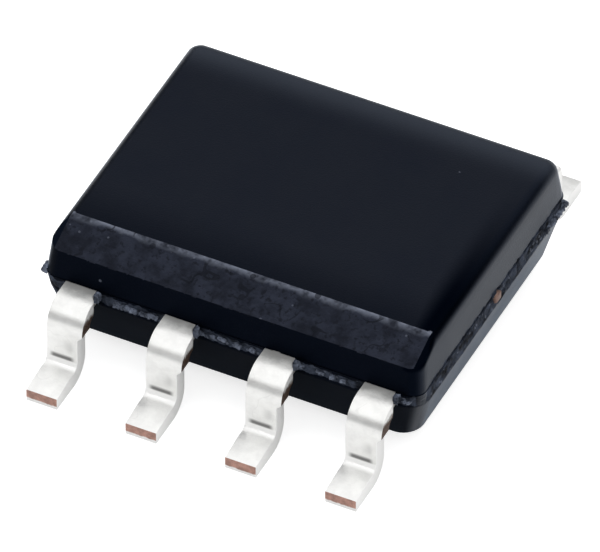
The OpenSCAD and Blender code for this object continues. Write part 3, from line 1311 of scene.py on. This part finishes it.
class CHIP_OT_core(bpy.types.Operator):
    """Forms the die pad with its tie bars, and finishes the die, adhesive and wires"""

    bl_idname = "chip.core"
    bl_label = "Die pad, die and wires"
    bl_options = {"REGISTER", "UNDO"}

    def execute(self, context):
        size = sizes_in_mm(context.scene.chip_core)
        pad = draw_pad(size)
        round_edges(pad, size.edge_radius, 2)
        dress(pad, plain_metal("leadframe_copper", size.strip, 0.7, 0.38, 0.02))
        smooth_by_angle(pad, 40)
        finish_piece(pad, "leadframe_copper", "die_pad")
        paste = plain_metal("silver_adhesive", size.adhesive, 0.6, 0.45, 0.015)
        dress(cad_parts["die_attach"], paste)
        dress(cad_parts["die"], silicon_material(size))
        gold = plain_metal("gold_wire", size.gold, 1.0, 0.18, 0.008)
        for name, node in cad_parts.items():
            if name.startswith("bond_wire"):
                dress(node, gold)
        return {"FINISHED"}


# The stage -------------------------------------------------


def seen_shares(sheet):
    """One for what the eye or a gloss looks at, and one for what the eye looks at."""
    path = sheet.add("ShaderNodeLightPath").outputs
    eye = Value(sheet, path["Is Camera Ray"])
    return eye.most(path["Is Glossy Ray"]).most(path["Is Transmission Ray"]), eye


def floor_material(settings):
    """Pale floor that shows white to the eye and in gloss, and keeps the shadow."""
    sheet = start_material(
        "pale_floor", 0.4, 12.0, Roughness=0.9, Specular_IOR_Level=0.0, Emission_Color=WHITE
    )
    seen, eye = seen_shares(sheet)
    tone = sheet.mottled(settings.floor, 0.985, 1.0)
    sheet.feed(Base_Color=tone, Emission_Strength=seen * 0.2 + eye * 0.5)
    # From below, the floor is clear to the eye.
    below = sheet.add("ShaderNodeNewGeometry").outputs["Backfacing"]
    clear = sheet.add("ShaderNodeBsdfTransparent").outputs[0]
    either = {0: eye * below, 1: sheet.shader.outputs[0], 2: clear}
    either = sheet.add("ShaderNodeMixShader", either).outputs[0]
    sheet.link(either, sheet.output.inputs["Surface"])
    return sheet.material


def light_world(settings):
    """An even pale dome, white to the eye and in gloss."""
    world = bpy.data.worlds.new("studio_dome")
    bpy.context.scene.world = world
    world.use_nodes = True
    sheet = Sheet(world.node_tree)
    seen = seen_shares(sheet)[0]
    level = sheet.add(
        "ShaderNodeMapRange", {"Value": seen, "To Min": settings.dome, "To Max": 1.0}
    )
    dome = sheet.tree.nodes["Background"]
    dome.location = (5 * COLUMN, 0)
    dome.inputs["Color"].default_value = WHITE
    sheet.link(level.outputs[0], dome.inputs["Strength"])


def add_softbox(name, place, size, watts):
    """A square soft light that looks at the part."""
    place = Vector(place)
    bpy.ops.object.light_add(type="AREA", location=place)
    lamp = bpy.context.object
    lamp.name = name
    lamp.data.shape = "SQUARE"
    lamp.data.size = size
    lamp.data.energy = watts
    lamp.rotation_euler = (-place).to_track_quat("-Z", "Y").to_euler()
    lamp.visible_camera = False
    return lamp


def flag_material():
    """Dull black of the flag round the table."""
    sheet = start_material(
        "flag_cloth", 0.8, 9.0, Roughness=0.9, Emission_Color=WHITE, Emission_Strength=0.04
    )
    sheet.feed(Base_Color=sheet.mix(sheet.mottle, (0.018,) * 3, (0.022,) * 3))
    return sheet.material


def add_flag():
    """A dark ring round the table that shows only in gloss, to draw edges in metal."""
    bpy.ops.mesh.primitive_cylinder_add(
        vertices=96,
        radius=0.12,
        depth=0.068,
        end_fill_type="NOTHING",
        location=(0, 0, 0.041),
    )
    flag = bpy.context.object
    flag.name = "flag"
    for kind in ("camera", "diffuse", "shadow", "transmission"):
        setattr(flag, f"visible_{kind}", False)
    dress(flag, flag_material())


def add_camera(settings):
    """The camera, at its angle above and to the right of the front."""
    turn, rise = settings.azimuth, settings.elevation
    out = math.cos(rise)
    back = Vector((math.sin(turn) * out, -math.cos(turn) * out, math.sin(rise)))
    bpy.ops.object.camera_add(location=Vector(settings.aim) + back * settings.distance)
    camera = bpy.context.object
    camera.name = "camera"
    camera.rotation_euler = (-back).to_track_quat("-Z", "Y").to_euler()
    camera.data.lens = settings.lens
    camera.data.sensor_width = 36
    camera.data.clip_start = 0.01
    camera.data.clip_end = 1.0
    bpy.context.scene.camera = camera


class CHIP_OT_stage(bpy.types.Operator):
    """Sets the pale floor, the soft light and the camera"""

    bl_idname = "chip.stage"
    bl_label = "Stage"
    bl_options = {"REGISTER", "UNDO"}

    def execute(self, context):
        settings = context.scene.chip_stage
        deselect()
        bpy.ops.mesh.primitive_plane_add(size=0.3, location=(0, 0, -1e-6))
        floor = context.object
        floor.name = "floor"
        dress(floor, floor_material(settings))
        light_world(settings)
        key = add_softbox("key_light", (-0.03, 0.05, 0.11), 0.1, settings.key)
        key.visible_glossy = False
        glint = add_softbox("glint_light", (-0.02, -0.042, 0.04), 0.022, settings.glint)
        glint.visible_diffuse = False
        add_flag()
        add_camera(settings)
        context.scene.view_settings.view_transform = "Standard"
        deselect()
        return {"FINISHED"}


# Add-on ----------------------------------------------------


class CHIP_PT_panel(bpy.types.Panel):
    """Lists the operators and their sizes and colours"""

    bl_idname = "CHIP_PT_panel"
    bl_label = "Voltage supervisor chip"
    bl_space_type = "VIEW_3D"
    bl_region_type = "UI"
    bl_category = "Chip"

    def draw(self, context):
        scene = context.scene
        for operators, settings in (
            (("chip.moulding", "chip.flash"), scene.chip_moulding),
            (("chip.leads",), scene.chip_leads),
            (("chip.core",), scene.chip_core),
            (("chip.stage",), scene.chip_stage),
        ):
            box = self.layout.box()
            for operator in operators:
                box.operator(operator)
            for name in settings.bl_rna.properties.keys():
                if name not in ("rna_type", "name"):
                    box.prop(settings, name)


SETTINGS = {
    "chip_moulding": MouldingSettings,
    "chip_leads": LeadSettings,
    "chip_core": CoreSettings,
    "chip_stage": StageSettings,
}
CLASSES = (
    *SETTINGS.values(),
    CHIP_OT_moulding,
    CHIP_OT_flash,
    CHIP_OT_leads,
    CHIP_OT_core,
    CHIP_OT_stage,
    CHIP_PT_panel,
)


def register():
    for item in CLASSES:
        bpy.utils.register_class(item)
    for name, kind in SETTINGS.items():
        setattr(bpy.types.Scene, name, PointerProperty(type=kind))


def unregister():
    for name in SETTINGS:
        delattr(bpy.types.Scene, name)
    for item in reversed(CLASSES):
        bpy.utils.unregister_class(item)


def main():
    register()
    bpy.ops.chip.stage()
    bpy.ops.chip.moulding()
    bpy.ops.chip.flash()
    bpy.ops.chip.leads()
    bpy.ops.chip.core()


if __name__ == "__main__":
    main()
